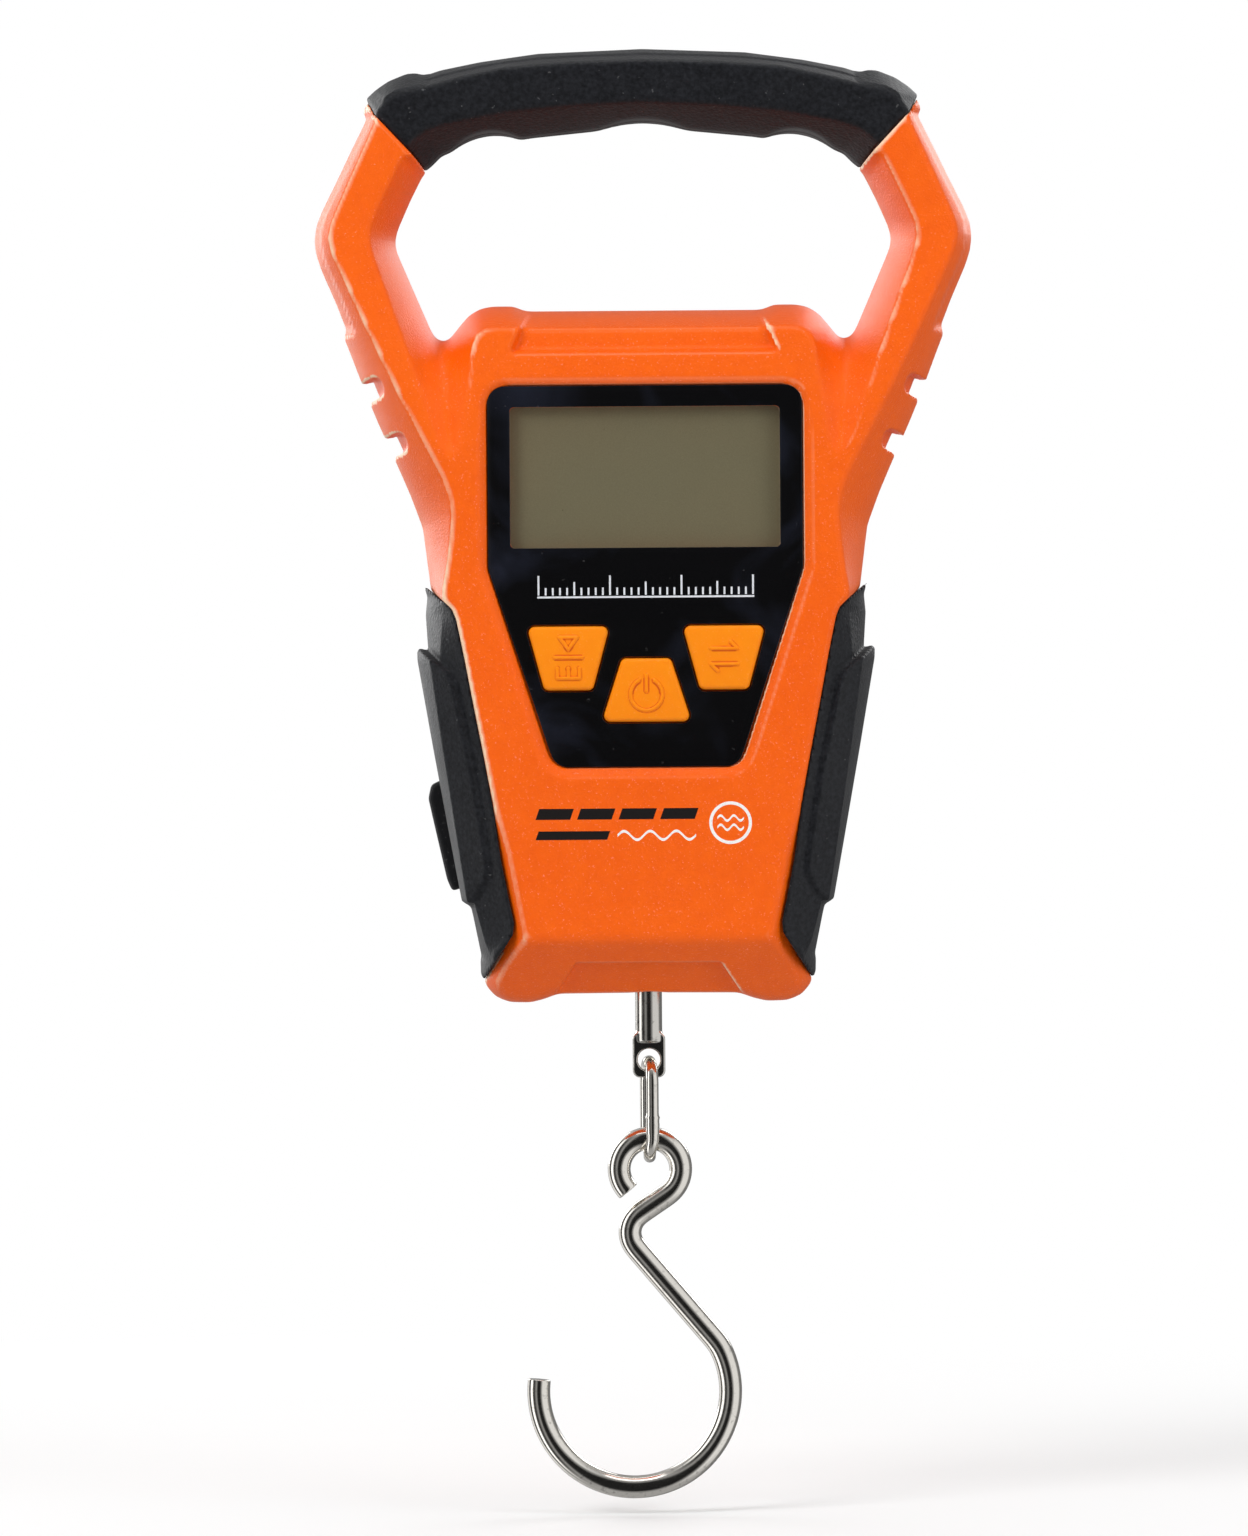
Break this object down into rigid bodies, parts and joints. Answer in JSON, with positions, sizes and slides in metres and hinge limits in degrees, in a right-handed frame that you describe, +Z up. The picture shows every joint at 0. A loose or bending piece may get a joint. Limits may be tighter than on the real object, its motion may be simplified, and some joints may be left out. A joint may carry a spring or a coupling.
{
  "type": "digital fish scale",
  "caption": "Hand-held digital hanging scale with a rubber finger handle, display, keys, swinging link and hook, battery door and pull-out tape measure.",
  "frame": {"origin": "on the load axis, on the plane where the case halves meet, level with the bottom of the case", "axes": "+Z up along the load axis from hook to handle, +Y from the display to the back, +X to the display's right"},
  "size_m": [0.1156, 0.03, 0.2531],
  "materials": {
    "orange_plastic": "fine moulded texture",
    "grip_rubber": "granular soft-touch rubber",
    "gloss_black": "polished acrylic",
    "black_foam": "thin foam",
    "lcd": "grey-green display",
    "diffuser": "frosted",
    "elastomer": "smooth",
    "board_green": "solder mask",
    "chip_black": "matt",
    "zinc_steel": "zinc plated",
    "key_silicone": "matt silicone",
    "cell_aluminium": "milled",
    "gauge_foil": "foil",
    "plated_steel": "bright nickel",
    "chrome": "bright chrome",
    "battery_shell": "printed sleeve",
    "dark_plastic": "moulded",
    "white_plastic": "moulded",
    "tape_yellow": "coated tape",
    "tab_plastic": "hard black plastic",
    "wire_red": "insulated wire",
    "wire_black": "insulated wire"
  },
  "bodies": {
    "casing": {"front_cover": "orange_plastic", "rear_cover": "orange_plastic", "handle_grip_front": "grip_rubber", "handle_grip_rear": "grip_rubber", "side_grip_left": "grip_rubber", "side_grip_right": "grip_rubber", "lens_panel": "gloss_black", "panel_adhesive": "black_foam", "lcd_glass": "lcd", "lcd_backlight": "diffuser", "zebra_strip": "elastomer", "main_board": "board_green", "controller_chip": "chip_black", "amplifier_chip": "chip_black", "board_capacitors": "chip_black", "board_screws": "zinc_steel", "keypad_web": "key_silicone", "load_cell": "cell_aluminium", "strain_gauges": "gauge_foil", "load_bracket": "zinc_steel", "bracket_bolt": "zinc_steel", "bracket_screws": "zinc_steel", "hanger_rod": "plated_steel", "hanger_nut": "plated_steel", "hanger_seal": "elastomer", "batteries": "battery_shell", "battery_springs": "zinc_steel", "battery_plates": "zinc_steel", "tape_housing": "dark_plastic", "tape_lid": "dark_plastic", "tape_axle": "zinc_steel", "tape_screws": "zinc_steel", "case_screws": "zinc_steel", "gauge_wires": "wire_red", "battery_wires": "wire_black"},
    "tare_key": {"tare_button": "key_silicone", "tare_contact": "elastomer"},
    "power_key": {"power_button": "key_silicone", "power_contact": "elastomer"},
    "unit_key": {"unit_button": "key_silicone", "unit_contact": "elastomer"},
    "link": {"link_ring": "chrome"},
    "hook": {"hook": "chrome"},
    "door": {"battery_door": "orange_plastic", "door_seal": "black_foam"},
    "drum": {"tape_drum": "white_plastic", "tape_coil": "tape_yellow", "tape_spring": "zinc_steel"},
    "tab": {"tape_tail": "tape_yellow", "tape_tab": "tab_plastic"}
  },
  "joints": [
    {"name": "tare_press", "type": "slide", "parent": "casing", "child": "tare_key", "axis": [0, 1, 0], "range_m": [0, 0.0008], "stiffness_N_per_m": 1500},
    {"name": "power_press", "type": "slide", "parent": "casing", "child": "power_key", "axis": [0, 1, 0], "range_m": [0, 0.0008], "stiffness_N_per_m": 1500},
    {"name": "unit_press", "type": "slide", "parent": "casing", "child": "unit_key", "axis": [0, 1, 0], "range_m": [0, 0.0008], "stiffness_N_per_m": 1500},
    {"name": "link_swing", "type": "hinge", "parent": "casing", "child": "link", "pos_m": [0, 0, -0.0143], "axis": [1, 0, 0], "range_deg": [-60, 60]},
    {"name": "hook_swing", "type": "hinge", "parent": "link", "child": "hook", "pos_m": [0, 0, -0.027], "axis": [0, 1, 0], "range_deg": [-90, 90]},
    {"name": "door_open", "type": "hinge", "parent": "casing", "child": "door", "pos_m": [0, 0.015, 0.0682], "axis": [-1, 0, 0], "range_deg": [0, 90]},
    {"name": "tape_pull", "type": "slide", "parent": "casing", "child": "tab", "axis": [-1, 0, 0], "range_m": [0, 1]},
    {"name": "drum_spin", "type": "hinge", "parent": "casing", "child": "drum", "pos_m": [0.002, 0.0088, 0.0416], "axis": [0, 1, 0], "range_deg": [0, 4696.4]}
  ],
  "couplings": [
    {"joint": "drum_spin", "follows": "tape_pull", "rad_per_m": 81.967}
  ]
}
